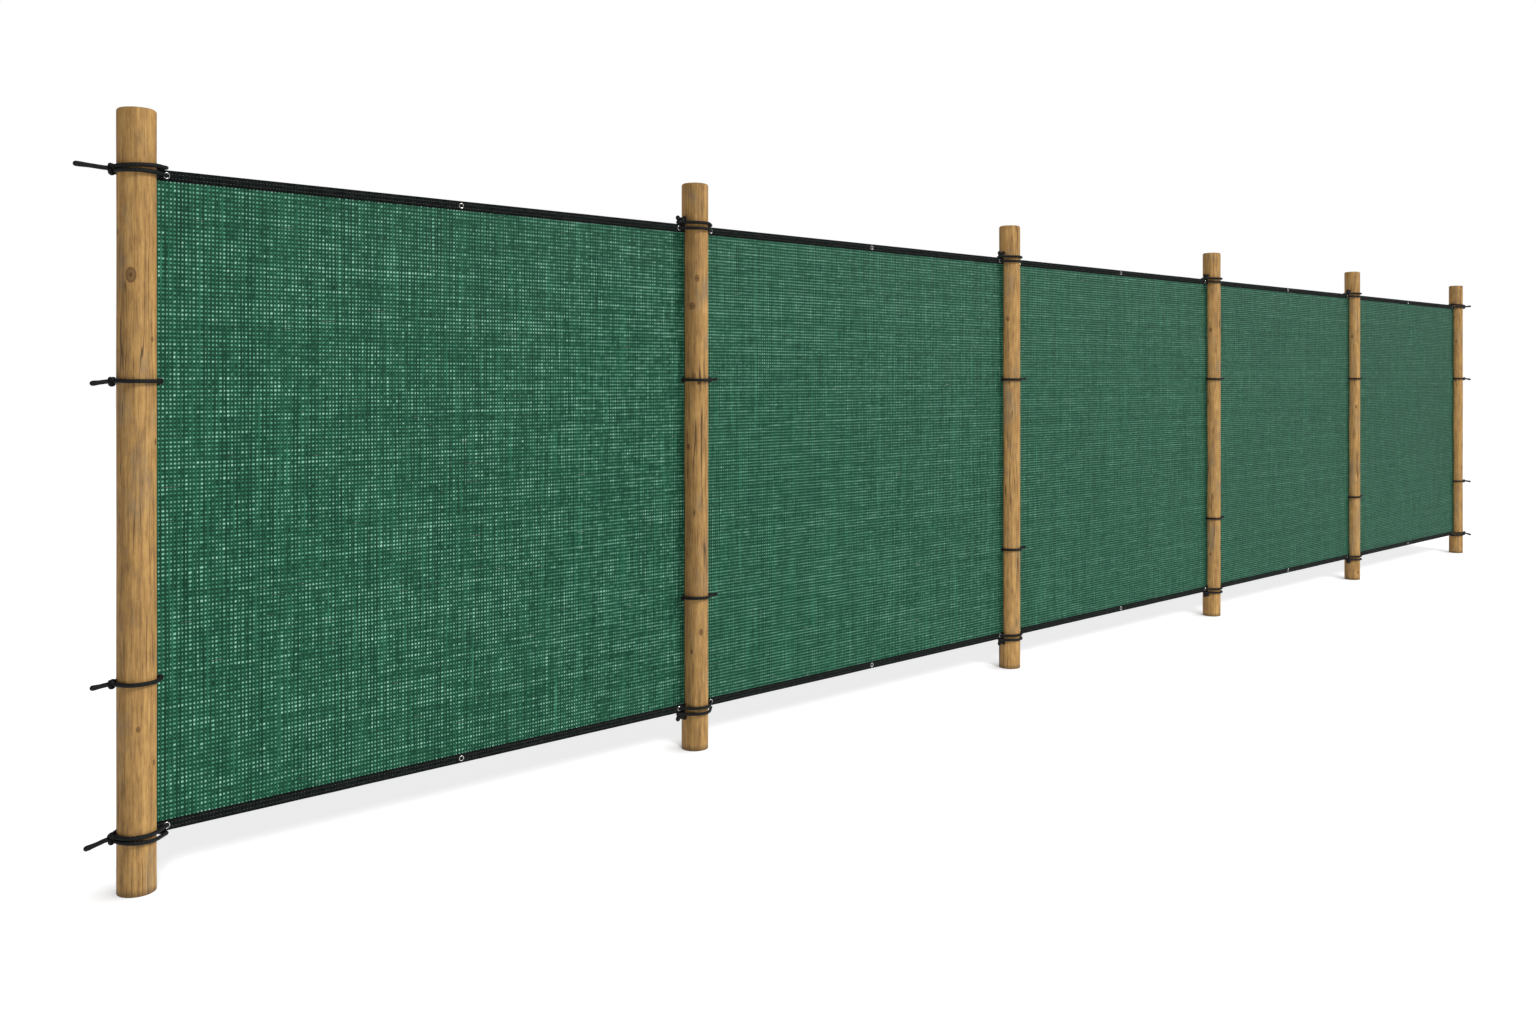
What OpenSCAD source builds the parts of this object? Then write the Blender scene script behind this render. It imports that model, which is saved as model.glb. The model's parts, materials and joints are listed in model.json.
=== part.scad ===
// Windbreak net fence: round timber posts with hemmed net panels lashed between them.
// Millimetres. Origin at the foot of the first post, X along the fence, Z up, front on -Y.

/* [Bays] */
// Number of bays between posts
bays = 5; // [1:1:6]
// Distance between post axes
bay_pitch = 2000; // [1200:10:3000]

/* [Posts] */
// Diameter of a post
post_d = 100; // [70:1:160]
// Height of a post above the ground
post_h = 2100; // [2060:10:3000]
// Radius of the rounded edge at the top of a post
post_edge_r = 9; // [2:1:15]

/* [Net panels] */
// Thickness of the net
net_t = 2; // [1:0.25:4]
// Height of a panel from hem edge to hem edge
panel_h = 1800; // [1400:10:1850]
// Height of the lower hem's edge above the ground
panel_base = 145; // [80:5:220]
// Gap between the side of a panel and a post
panel_gap = 0.5; // [0.3:0.1:10]

/* [Hems] */
// Width of the folded hem tape
hem_w = 30; // [28:1:60]
// Thickness of one leaf of the tape
hem_leaf = 1.2; // [0.8:0.1:2.5]
// Clearance between the tape and the net inside it
hem_fit = 0.1; // [0.05:0.05:0.3]

/* [Eyelets] */
// Bore of an eyelet
eyelet_bore = 12; // [11.5:0.25:16]
// Wall of an eyelet's barrel
eyelet_wall = 0.8; // [0.5:0.1:1.5]
// Width of an eyelet's flange beyond its bore
eyelet_flange_w = 3.5; // [2.5:0.25:5]
// Thickness of an eyelet's flange
eyelet_flange_t = 0.8; // [0.5:0.1:1.2]
// Clearance round an eyelet's barrel
eyelet_fit = 0.1; // [0.05:0.05:0.3]
// Net left between a panel's side and a corner eyelet
corner_margin = 18; // [12:0.5:60]
// Net left between a panel's side and a side eyelet
side_margin = 1; // [0.5:0.5:20]
// Height of the upper side eyelets above the lower hem's edge
upper_side_z = 1225; // [900:5:1300]
// Height of the lower side eyelets above the lower hem's edge
lower_side_z = 420; // [100:5:800]

/* [Ties] */
// Diameter of the tie cord
cord_d = 10; // [5:0.25:10.5]
// Clearance between a tie and what it is lashed round
cord_gap = 0.3; // [0.1:0.1:0.5]
// Radius at the middle of the turns of a two-strand knot
pair_knot_r = 12; // [9:0.5:14]
// Diameter of a one-strand knot
single_knot_d = 25; // [18:0.5:30]
// Length of the tail of a top tie on the first post
top_tail = 75; // [20:1:120]
// Length of the tail of a middle tie on the first post
middle_tail = 37; // [15:1:80]
// Length of the tail of a bottom tie on the first post
bottom_tail = 50; // [20:1:100]
// Length of the tails on the last post
last_tail = 40; // [15:1:80]
// Angle of the first post's knots round towards the back
first_knot_turn = 10; // [5:1:40]
// Angle of the last post's knots round towards the front
last_knot_turn = 45; // [20:1:60]
// Radius of the knots that sit on the hems between two panels
bow_r = 6; // [5.5:0.25:8]
// Distance from such a knot's middle to each of its ends
bow_half = 13; // [9:0.5:20]
// Length of the cut ends of such a knot
bow_ear = 17; // [13:0.5:24]
// Diameter of the stopper knot on a middle tie between two panels
stopper_d = 16; // [12:0.5:22]
// Length of the tail beyond a stopper knot
stopper_tail = 27; // [16:1:60]

/* [Hidden] */
posts = bays + 1;
$fn = 72;

post_r = post_d / 2;
panel_top = panel_base + panel_h;
panel_side = post_r + panel_gap;
panel_w = bay_pitch - 2 * panel_side;

hem_slot = net_t + 2 * hem_fit;
hem_t = hem_slot + 2 * hem_leaf;
net_inset = hem_leaf + hem_fit;
top_hem_z = panel_top - hem_w / 2;
bottom_hem_z = panel_base + hem_w / 2;

eyelet_hole = eyelet_bore + 2 * eyelet_wall + 2 * eyelet_fit;
eyelet_flange_r = eyelet_bore / 2 + eyelet_flange_w;
corner_x = panel_side + corner_margin + eyelet_flange_r;
side_x = panel_side + side_margin + eyelet_flange_r;
corner_xs = [corner_x, bay_pitch / 2, bay_pitch - corner_x];
side_xs = [side_x, bay_pitch - side_x];
side_zs = [panel_base + lower_side_z, panel_base + upper_side_z];

cord_r = cord_d / 2;
// A ball of this radius joins a straight run of cord to a bend
bend_r = 1.02 * cord_r;
bend_lap = 0.05 * cord_r;
lash_r = post_r + cord_gap + cord_r;
corner_turn_r = cord_r + cord_gap + hem_t / 2 + eyelet_flange_t;
// A plain bend lies this much outside a side eyelet's middle, so that both its runs clear the bore
side_open = acos(lash_r / side_x);
side_drift = (net_t / 2 + eyelet_flange_t) * tan(side_open) + cord_r / cos(side_open) - cord_r;
side_bend_x = side_x + side_drift / 2;
// Height of the strand over the hem's edge above the strand through the eyelets
over_z = hem_w / 2 + cord_gap + cord_r;
// Height between the two strands where they meet at a knot
pair_z = cord_d + cord_gap;
over_tilt = atan((over_z - pair_z) / (corner_x + lash_r));
over_mid_z = pair_z + lash_r * tan(over_tilt);
// A knot's turns are slack, so its cord takes up more room than a taut strand
knot_cord_r = 1.4 * cord_r;
knot_turn_step = 1.6 * cord_r;
knot_gap = cord_gap / 3;
// A knot on an end post fills the gap between its strands' ends
pair_knot_lap = asin((pair_knot_r + knot_cord_r + cord_gap) / (lash_r + cord_r / 2));
single_knot_x = post_r + knot_gap + single_knot_d / 2;
single_knot_lap = asin((single_knot_d / 2 + cord_gap) / single_knot_x);
// Height of a stopper knot's middle above its strand
knot_step = 0.25 * cord_r;
// Where a knot's turns begin, as an angle round the knot
knot_seam = 20;
tip_r = 1.1 * cord_r;
cut = 1;
// More than the height of any knot and tail
outline_max = 1000;

function knot_angle(i) = i == posts ? 180 + last_knot_turn : 180 - first_knot_turn;
function is_end(i) = i == 1 || i == posts;

timber = "#a58350";
green = "#3b6550";
black = "#202322";
nickel = "#b9b6ae";

// Posts

module post(i) {
    color(timber)
        translate([(i - 1) * bay_pitch, 0, 0])
            rotate_extrude()
                post_half();
}

module post_half() {
    square([post_r, post_h - post_edge_r]);
    square([post_r - post_edge_r, post_h]);
    translate([post_r - post_edge_r, post_h - post_edge_r])
        circle(post_edge_r);
}

// Net panels, with a hole for each eyelet

module net(i) {
    color(green)
        translate([(i - 1) * bay_pitch, 0, 0])
            difference() {
                translate([panel_side, -net_t / 2, panel_base + net_inset])
                    cube([panel_w, net_t, panel_h - 2 * net_inset]);
                eyelet_holes();
            }
}

module eyelet_holes() {
    for (x = corner_xs, z = [bottom_hem_z, top_hem_z])
        across(x, z)
            cylinder(d = eyelet_hole, h = hem_t + 2 * cut, center = true);
    for (x = side_xs, z = side_zs)
        across(x, z)
            cylinder(d = eyelet_hole, h = hem_t + 2 * cut, center = true);
}

// Places a child whose axis is Z so that it goes through a panel
module across(x, z) {
    translate([x, 0, z])
        rotate([90, 0, 0])
            children();
}

// Hems, each one tape folded over the edge of the net

module top_hem(i) {
    color(black)
        translate([(i - 1) * bay_pitch, 0, 0])
            difference() {
                translate([0, 0, panel_top])
                    folded_tape();
                eyelet_holes();
            }
}

module bottom_hem(i) {
    color(black)
        translate([(i - 1) * bay_pitch, 0, 0])
            difference() {
                translate([0, 0, panel_base])
                    mirror([0, 0, 1])
                        folded_tape();
                eyelet_holes();
            }
}

module folded_tape() {
    translate([panel_side, 0, 0])
        rotate([90, 0, 90])
            linear_extrude(panel_w)
                tape_section();
}

// Section of the tape with the outside of its fold at the origin
module tape_section() {
    difference() {
        union() {
            translate([-hem_t / 2, -hem_w])
                square([hem_t, hem_w - hem_t / 2]);
            translate([0, -hem_t / 2])
                circle(hem_t / 2);
        }
        translate([-hem_slot / 2, -hem_w - cut])
            square([hem_slot, hem_w - hem_leaf + cut]);
    }
}

// Eyelets, clenched on both faces of the hems and of the net's sides

module eyelets(i) {
    color(nickel)
        translate([(i - 1) * bay_pitch, 0, 0]) {
            for (x = corner_xs, z = [bottom_hem_z, top_hem_z])
                across(x, z)
                    eyelet(hem_t);
            for (x = side_xs, z = side_zs)
                across(x, z)
                    eyelet(net_t);
        }
}

module eyelet(grip) {
    rotate_extrude()
        eyelet_half(grip);
}

module eyelet_half(grip) {
    bore_r = eyelet_bore / 2;
    translate([bore_r, -grip / 2 - eyelet_flange_t])
        square([eyelet_wall, grip + 2 * eyelet_flange_t]);
    for (side = [-1, 1])
        translate([bore_r, side * (grip + eyelet_flange_t) / 2])
            flange_half();
}

module flange_half() {
    translate([0, -eyelet_flange_t / 2])
        square([eyelet_flange_w - eyelet_flange_t / 2, eyelet_flange_t]);
    translate([eyelet_flange_w - eyelet_flange_t / 2, 0])
        circle(eyelet_flange_t / 2);
}

// Ties

module top_tie(i) {
    at_post(i)
        translate([0, 0, top_hem_z])
            hem_tie(i, top_tail);
}

module bottom_tie(i) {
    at_post(i)
        translate([0, 0, bottom_hem_z])
            mirror([0, 0, 1])
                hem_tie(i, bottom_tail);
}

module middle_ties(i) {
    at_post(i)
        for (z = side_zs)
            translate([0, 0, z])
                side_tie(i);
}

// The last post's ties are the mirror image of the first post's
module at_post(i) {
    color(black)
        translate([(i - 1) * bay_pitch, 0, 0])
            mirror([i == posts ? 1 : 0, 0, 0])
                children();
}

// Two strands: one through the corner eyelets and one over the hem's edge
module hem_tie(i, tail) {
    lashing(i, corner_x, corner_turn_r, pair_knot_lap);
    if (is_end(i)) {
        translate([0, 0, over_mid_z])
            rotate([0, -over_tilt, 0])
                lashing(i, corner_x, corner_turn_r, pair_knot_lap);
        translate([0, 0, pair_z / 2])
            outward(i, post_r + knot_gap + knot_cord_r)
                turned_knot(i == posts ? last_tail : tail);
    } else {
        translate([0, 0, over_z])
            lashing(i, corner_x, corner_turn_r, pair_knot_lap);
        bow_knot();
    }
}

// One strand through the side eyelets
module side_tie(i) {
    lashing(i, side_bend_x, 0, single_knot_lap);
    if (is_end(i))
        outward(i, single_knot_x)
            round_knot(single_knot_d, i == posts ? last_tail : middle_tail);
    else
        stopper_knot();
}

// A loop of cord round a post and through the eyelets at reach. It turns at an eyelet in an arc of
// radius turn_r, or in a plain bend where that is 0. On an end post its ends stop knot_lap degrees
// on each side of the knot's middle.
module lashing(i, reach, turn_r, knot_lap) {
    turn_x = reach - turn_r;
    open = acos((lash_r - turn_r) / turn_x);
    from_post = [lash_r * cos(open), lash_r * sin(open), 0];
    to_turn = [turn_x + turn_r * cos(open), turn_r * sin(open), 0];
    for (side = is_end(i) ? [0] : [0, 1])
        mirror([side, 0, 0]) {
            for (face = [0, 1])
                mirror([0, face, 0])
                    cord_run(from_post, to_turn, turn_r > 0 ? [0, 1] : [0]);
            if (turn_r > 0)
                translate([turn_x, 0, 0])
                    cord_arc(turn_r, -open, open);
            else
                translate(to_turn)
                    rotate([90, 0, 0])
                        sphere(bend_r);
        }
    if (is_end(i)) {
        cord_arc(lash_r, open, knot_angle(i) - knot_lap);
        cord_arc(lash_r, knot_angle(i) + knot_lap, 360 - open);
    } else {
        for (face = [0, 180])
            cord_arc(lash_r, face + open, face + 180 - open);
    }
}

module cord_arc(r, from, to) {
    rotate([0, 0, from])
        rotate_extrude(angle = to - from)
            translate([r, 0])
                circle(cord_r);
}

// A straight run that stops just short of the bends at its ends. Balls join it to them at the ends
// listed, 0 for from and 1 for to.
module cord_run(from, to, ball_ends) {
    run = to - from;
    translate(from)
        rotate([0, acos(run.z / norm(run)), atan2(run.y, run.x)]) {
            translate([0, 0, bend_lap])
                cylinder(r = cord_r, h = norm(run) - 2 * bend_lap);
            for (end = ball_ends)
                translate([0, 0, end * norm(run)])
                    sphere(bend_r);
        }
}

// Points a knot's axis away from an end post, with its foot at a distance from the post's axis
module outward(i, distance) {
    rotate([0, 0, knot_angle(i)])
        translate([distance, 0, 0])
            rotate([0, 90, 0])
                children();
}

// Two turns round both strands, and the cord's tail
module turned_knot(tail) {
    rotate([0, 0, knot_seam])
        rotate_extrude()
            right_half() {
                square([pair_knot_r, knot_turn_step]);
                for (turn = [0, 1])
                    translate([pair_knot_r, turn * knot_turn_step])
                        circle(knot_cord_r);
                tail_half(knot_turn_step + knot_cord_r + tail);
            }
}

// A round knot and the cord's tail
module round_knot(d, tail) {
    rotate([0, 0, knot_seam])
        rotate_extrude()
            right_half() {
                circle(d / 2);
                tail_half(d / 2 + tail);
            }
}

// A straight piece of cord up to a height, with a sealed tip
module tail_half(height) {
    square([cord_r, height - tip_r]);
    translate([0, height - tip_r])
        circle(tip_r);
}

// Keeps what lies on the right of an outline's axis
module right_half() {
    intersection() {
        union() children();
        translate([0, -outline_max])
            square([outline_max, 2 * outline_max]);
    }
}

// A flat knot on the strand over the hem's edge beside the post, with both cut ends upright
module bow_knot() {
    bow_x = post_r + cord_gap + bow_r + bow_half;
    translate([-bow_x, 0, over_z + cord_r + cord_gap + bow_r]) {
        translate([-bow_half, 0, 0])
            rotate([0, 90, 0])
                rotate_extrude()
                    right_half() {
                        square([bow_r, 2 * bow_half]);
                        for (end = [0, 2 * bow_half])
                            translate([0, end])
                                circle(bow_r);
                    }
        for (side = [-1, 1])
            translate([side * bow_half, 0, 0])
                rotate_extrude()
                    right_half()
                        tail_half(bow_ear);
    }
}

// A round knot on the front strand beside the post, with a short tail across the net
module stopper_knot() {
    open = acos(lash_r / side_bend_x);
    knot_at = [lash_r * cos(open), -lash_r * sin(open), 0];
    translate(knot_at + [stopper_d / 4, 0, knot_step])
        rotate([0, 90, -open])
            round_knot(stopper_d, stopper_tail);
}

for (i = [1:posts]) post(i);
for (i = [1:bays]) net(i);
for (i = [1:bays]) top_hem(i);
for (i = [1:bays]) bottom_hem(i);
for (i = [1:bays]) eyelets(i);
for (i = [1:posts]) top_tie(i);
for (i = [1:posts]) middle_ties(i);
for (i = [1:posts]) bottom_tie(i);
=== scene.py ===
"""Dresses the windbreak net fence: timber posts, knitted net panels, sewn hems, eyelets and cord ties.

Lengths are in metres. X runs along the fence, -Y is its front and Z is up.
"""
import json
import math

import bpy
import numpy as np
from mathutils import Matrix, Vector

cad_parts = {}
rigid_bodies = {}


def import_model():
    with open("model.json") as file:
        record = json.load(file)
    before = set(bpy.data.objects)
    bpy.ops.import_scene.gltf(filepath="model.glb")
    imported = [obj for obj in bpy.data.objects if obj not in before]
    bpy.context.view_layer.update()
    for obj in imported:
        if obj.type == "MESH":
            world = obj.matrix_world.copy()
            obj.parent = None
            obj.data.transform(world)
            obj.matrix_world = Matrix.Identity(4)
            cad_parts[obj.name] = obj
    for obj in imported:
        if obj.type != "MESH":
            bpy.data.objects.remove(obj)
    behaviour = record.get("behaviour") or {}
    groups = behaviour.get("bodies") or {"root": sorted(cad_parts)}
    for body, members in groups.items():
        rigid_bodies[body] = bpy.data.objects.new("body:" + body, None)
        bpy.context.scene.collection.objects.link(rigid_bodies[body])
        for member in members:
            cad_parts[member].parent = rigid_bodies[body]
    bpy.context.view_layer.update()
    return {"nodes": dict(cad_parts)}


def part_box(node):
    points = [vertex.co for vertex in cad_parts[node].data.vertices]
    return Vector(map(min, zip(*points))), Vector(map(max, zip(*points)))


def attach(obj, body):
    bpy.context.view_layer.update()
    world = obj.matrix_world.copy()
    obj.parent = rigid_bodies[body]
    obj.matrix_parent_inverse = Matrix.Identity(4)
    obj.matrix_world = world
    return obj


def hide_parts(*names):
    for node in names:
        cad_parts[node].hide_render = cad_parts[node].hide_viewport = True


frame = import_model()

BAYS = sum(name.startswith("net_") for name in frame["nodes"])
POSTS = BAYS + 1
MM = 0.001
FULL_TURN = 2 * math.pi
QUARTER_TURN = math.pi / 2
UP = np.array([0.0, 0.0, 1.0])
BACK = np.array([0.0, 1.0, 0.0])
UNSTRETCHED = (1.0, 1.0, 1.0)
NOISE_MIDDLE = 0.5


def rgba(colour):
    """A colour as a socket takes it. Another node's output stays as it is."""
    if isinstance(colour, bpy.types.NodeSocket):
        return colour
    return (*colour, 1.0)


class Surface:
    """A material and the nodes that give its colour, roughness and relief."""

    def __init__(self, name):
        self.material = bpy.data.materials.new(name)
        self.material.use_nodes = True
        self.tree = self.material.node_tree
        self.shader = self.tree.nodes["Principled BSDF"]

    def set(self, **values):
        """Sets the shader's own sockets, by names written with _ for a space."""
        for name, value in values.items():
            self.shader.inputs[name.replace("_", " ")].default_value = value

    def add(self, kind, inputs, **settings):
        """Adds a node. An input is a value or another node's output."""
        node = self.tree.nodes.new(kind)
        for name, value in settings.items():
            setattr(node, name, value)
        for name, value in inputs.items():
            if isinstance(value, bpy.types.NodeSocket):
                self.tree.links.new(value, node.inputs[name])
            else:
                node.inputs[name].default_value = value
        return node

    def link(self, output, socket):
        """Feeds one of the shader's sockets from a node's output."""
        self.tree.links.new(output, self.shader.inputs[socket])

    def math(self, operation, a, b=0.0):
        """One step of arithmetic on outputs and values."""
        return self.add("ShaderNodeMath", {0: a, 1: b}, operation=operation).outputs[0]

    def parts(self, vector):
        """The X, Y and Z of a vector, as outputs by name."""
        return self.add("ShaderNodeSeparateXYZ", {"Vector": vector}).outputs

    def uv(self):
        """The length along a piece as X, and the share around it as Y."""
        return self.parts(self.add("ShaderNodeUVMap", {}).outputs["UV"])

    def position(self, stretch=UNSTRETCHED):
        """The piece's own coordinates, stretched along each axis."""
        place = self.add("ShaderNodeTexCoord", {}).outputs["Object"]
        return self.add("ShaderNodeMapping", {"Vector": place, "Scale": stretch}).outputs["Vector"]

    def noise(self, scale, stretch=UNSTRETCHED, detail=3.0, roughness=0.5, distortion=0.0):
        """Noise over the piece's own coordinates."""
        inputs = {
            "Vector": self.position(stretch), "Scale": scale, "Detail": detail,
            "Roughness": roughness, "Distortion": distortion,
        }
        return self.add("ShaderNodeTexNoise", inputs).outputs["Fac"]

    def ramp(self, value, stops):
        """A colour ramp through (place, colour) stops."""
        node = self.add("ShaderNodeValToRGB", {"Fac": value})
        elements = node.color_ramp.elements
        while len(elements) < len(stops):
            elements.new(0.5)
        for element, (place, colour) in zip(elements, stops):
            element.position = place
            element.color = rgba(colour)
        return node.outputs["Color"]

    def mask(self, value, low, high, shape="SMOOTHSTEP"):
        """0 at low and beyond it, and 1 at high and beyond it."""
        inputs = {"Value": value, "From Min": low, "From Max": high}
        return self.add("ShaderNodeMapRange", inputs, interpolation_type=shape).outputs["Result"]

    def mix(self, share, a, b):
        """Colour a, with a share of colour b."""
        inputs = {0: share, 6: rgba(a), 7: rgba(b)}
        return self.add("ShaderNodeMix", inputs, data_type="RGBA").outputs[2]

    def relief(self, height, distance):
        """Bumps the surface by a height of 0 to 1 over a distance."""
        inputs = {"Height": height, "Distance": distance, "Strength": 1.0}
        self.link(self.add("ShaderNodeBump", inputs).outputs["Normal"], "Normal")


class Shape:
    """Collects the points, faces and UVs of one piece."""

    def __init__(self):
        self.points = []
        self.faces = []
        self.uvs = []
        self.count = 0

    def add(self, points, faces, uvs=None):
        """Adds points, faces that index them from 0, and one UV for each corner of each face."""
        points = np.asarray(points, float).reshape(-1, 3)
        self.points.append(points)
        for k, face in enumerate(faces):
            self.faces.append([int(corner) + self.count for corner in face])
            self.uvs.append(np.zeros((len(face), 2)) if uvs is None else uvs[k])
        self.count += len(points)

    def add_rings(self, points, along=None):
        """Adds a surface through rings of points. UVs are the length along and the share around."""
        rows, columns = points.shape[:2]
        step = np.arange(columns)
        row = np.arange(rows - 1)[:, None]
        corners = ((row, step), (row, step + 1), (row + 1, step + 1), (row + 1, step))
        quads = np.stack([r * columns + c % columns for r, c in corners], axis=-1).reshape(-1, 4)
        if along is None:
            along = np.arange(rows, dtype=float)
        uvs = np.stack(
            [np.stack([along[r] + 0.0 * c, c / columns + 0.0 * r], axis=-1) for r, c in corners], axis=-2
        ).reshape(-1, 4, 2)
        self.add(points, quads, uvs)

    def add_cap(self, ring):
        """Closes the end of a tube with one face."""
        self.add(ring, [range(len(ring))])

    def mirror_x(self):
        """Turns the shape over from left to right."""
        for points in self.points:
            points[:, 0] = -points[:, 0]
        self.faces = [face[::-1] for face in self.faces]
        self.uvs = [uv[::-1] for uv in self.uvs]

    def move_x(self, distance):
        """Moves the shape along the fence."""
        for points in self.points:
            points[:, 0] = distance + points[:, 0]

    def piece(self, name, surface, node, slot):
        """Makes the object, in place of a CAD node if one is named."""
        mesh = bpy.data.meshes.new(name)
        mesh.from_pydata(np.concatenate(self.points), [], self.faces)
        layer = mesh.uv_layers.new(name="UVMap")
        layer.data.foreach_set("uv", np.concatenate(self.uvs).astype(np.float32).ravel())
        return finish_piece(name, mesh, surface, node)


def finish_piece(name, mesh, surface, node):
    """Links a smooth mesh as a piece that rides on the fence, in place of a CAD node if one is named."""
    mesh.polygons.foreach_set("use_smooth", np.ones(len(mesh.polygons), bool))
    mesh.validate()
    mesh.materials.append(surface.material)
    piece = bpy.data.objects.new(name, mesh)
    bpy.context.collection.objects.link(piece)
    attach(piece, "root")
    if node:
        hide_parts(node)
    return piece


def node_box(name):
    """The low and high corners of a CAD node."""
    low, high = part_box(name)
    return np.array(low), np.array(high)


def post_axis(i):
    """Where a post's axis is along the fence."""
    low, high = node_box(f"post_{i}")
    return (low[0] + high[0]) / 2


def circle(steps):
    """Angles evenly round a circle, without the last."""
    return np.arange(steps) / steps * FULL_TURN


def wander(rng, rows, columns, step):
    """Smooth random values along each row, about one standard deviation high, with no link between rows."""
    knots = rng.normal(size=(rows, columns // step + 3))
    place = np.arange(columns) / step
    left = place.astype(int)
    share = place - left
    share = share * share * (3.0 - 2.0 * share)
    return knots[:, left] * (1.0 - share) + knots[:, left + 1] * share


# Camera, at the photograph's viewing angle
IMAGE_WIDTH = 1536
IMAGE_HEIGHT = 1024
CAMERA_AT = (-1.3440, -3.7750, 1.3806)
CAMERA_TURN = math.radians(-44.63)
FOCAL_PIXELS = 1352.0
HORIZON_ROW = 377.2
SENSOR_WIDTH = 36.0
CAMERA_REACH = 200.0


def add_camera():
    """A level camera whose frame is shifted down, so that the posts stay upright."""
    camera = bpy.data.cameras.new("camera")
    camera.sensor_width = SENSOR_WIDTH
    camera.lens = FOCAL_PIXELS / IMAGE_WIDTH * SENSOR_WIDTH
    camera.shift_y = (HORIZON_ROW - IMAGE_HEIGHT / 2) / IMAGE_WIDTH
    camera.clip_end = CAMERA_REACH
    view = bpy.data.objects.new("camera", camera)
    view.location = CAMERA_AT
    view.rotation_euler = (QUARTER_TURN, 0.0, CAMERA_TURN)
    bpy.context.collection.objects.link(view)
    bpy.context.scene.camera = view


# Light and floor
WHITE = (1.0, 1.0, 1.0)
SKY_STRENGTH = 0.22
KEY_SUN = {"strength": 3.1, "spread": math.radians(20.0), "source": (0.508, -0.862, 0.84)}
NET_SUN = {"strength": 4.0, "spread": math.radians(20.0), "source": (0.82, -0.57, 0.58)}
FAR_SUN = {"strength": 3.1, "spread": math.radians(20.0), "source": (-0.12, -0.99, 0.84)}
FLOOR_SUN = {"strength": 3.2, "spread": math.radians(16.0), "source": (-0.92, -1.98, 1.60)}
FIRST_FAR_POST = 3
FLOOR_HALF = 60.0
FLOOR_GREY = (0.45, 0.45, 0.45)
FLOOR_GLOW = 0.76
FOOT_SHADE_REACH = 0.10
FOOT_SHADE_SIDE = (0.64, -0.63, 0.45)
FOOT_SHADE_SAMPLES = 4


def add_sun(name, strength, spread, source):
    """A soft sun that shines from a direction."""
    sun = bpy.data.lights.new(name, "SUN")
    sun.energy = strength
    sun.angle = spread
    lamp = bpy.data.objects.new(name, sun)
    across = math.hypot(source[0], source[1])
    lamp.rotation_euler = (math.atan2(across, source[2]), 0.0, math.atan2(source[0], -source[1]))
    bpy.context.collection.objects.link(lamp)
    return lamp


def link_light(lamp, objects, state):
    """Makes a lamp light those objects alone (INCLUDE), or all but them (EXCLUDE)."""
    linked = bpy.data.collections.new(f"linked_to_{lamp.name}")
    for obj in objects:
        linked.objects.link(obj)
    for entry in linked.collection_objects:
        entry.light_linking.link_state = state
    lamp.light_linking.receiver_collection = linked


def add_sky():
    """A plain white backdrop all round, dimmer as a light than as a backdrop."""
    world = bpy.data.worlds.new("sky")
    world.use_nodes = True
    tree = world.node_tree
    sky = tree.nodes["Background"]
    sky.inputs["Color"].default_value = rgba(WHITE)
    sky.inputs["Strength"].default_value = SKY_STRENGTH
    backdrop = tree.nodes.new("ShaderNodeBackground")
    backdrop.inputs["Color"].default_value = rgba(WHITE)
    seen = tree.nodes.new("ShaderNodeLightPath")
    either = tree.nodes.new("ShaderNodeMixShader")
    tree.links.new(seen.outputs["Is Camera Ray"], either.inputs[0])
    tree.links.new(sky.outputs[0], either.inputs[1])
    tree.links.new(backdrop.outputs[0], either.inputs[2])
    tree.links.new(either.outputs[0], tree.nodes["World Output"].inputs["Surface"])
    bpy.context.scene.world = world


def add_stage():
    """A white floor, darker close to what stands on it and away from the light, and a white sky."""
    bpy.context.scene.view_settings.view_transform = "Standard"
    add_sky()
    paint = Surface("floor_white")
    paint.set(Base_Color=rgba(FLOOR_GREY), Roughness=0.9, Specular_IOR_Level=0.0)
    paint.set(Emission_Color=rgba(WHITE))
    side = paint.add("ShaderNodeCombineXYZ", dict(zip("XYZ", FOOT_SHADE_SIDE))).outputs["Vector"]
    shade = {"Distance": FOOT_SHADE_REACH, "Normal": side}
    near = paint.add("ShaderNodeAmbientOcclusion", shade, samples=FOOT_SHADE_SAMPLES)
    paint.link(paint.math("MULTIPLY", near.outputs["AO"], FLOOR_GLOW), "Emission Strength")
    corners = [(-FLOOR_HALF, -FLOOR_HALF, 0), (FLOOR_HALF, -FLOOR_HALF, 0),
               (FLOOR_HALF, FLOOR_HALF, 0), (-FLOOR_HALF, FLOOR_HALF, 0)]
    mesh = bpy.data.meshes.new("floor")
    mesh.from_pydata(corners, [], [(0, 1, 2, 3)])
    mesh.materials.append(paint.material)
    floor = bpy.data.objects.new("floor", mesh)
    bpy.context.collection.objects.link(floor)


def add_lights():
    """A key from the upper right, and suns of their own for the net panels, the far posts and the floor."""
    nets = [bpy.data.objects[f"knit_net_{i}"] for i in range(1, BAYS + 1)]
    far_posts = [bpy.data.objects[f"timber_post_{i}"] for i in range(FIRST_FAR_POST, POSTS + 1)]
    floor = [bpy.data.objects["floor"]]
    link_light(add_sun("key_sun", **KEY_SUN), nets + far_posts + floor, "EXCLUDE")
    link_light(add_sun("net_sun", **NET_SUN), nets, "INCLUDE")
    link_light(add_sun("far_sun", **FAR_SUN), far_posts, "INCLUDE")
    link_light(add_sun("floor_sun", **FLOOR_SUN), floor, "INCLUDE")


# Net: rows of flat inlay tape, held between pillars of stitches on both faces
NET_SEED = 41
RIPPLE = 1.6 * MM
RIPPLE_LENGTHS = (0.83, 0.61)
WIDTH_SPREAD = 0.04
WIDTH_RUN = 5
# How uneven the knit of each panel is, from the first post on
UNEVEN = (1.22, 0.8, 0.66, 0.6, 0.55)
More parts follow.
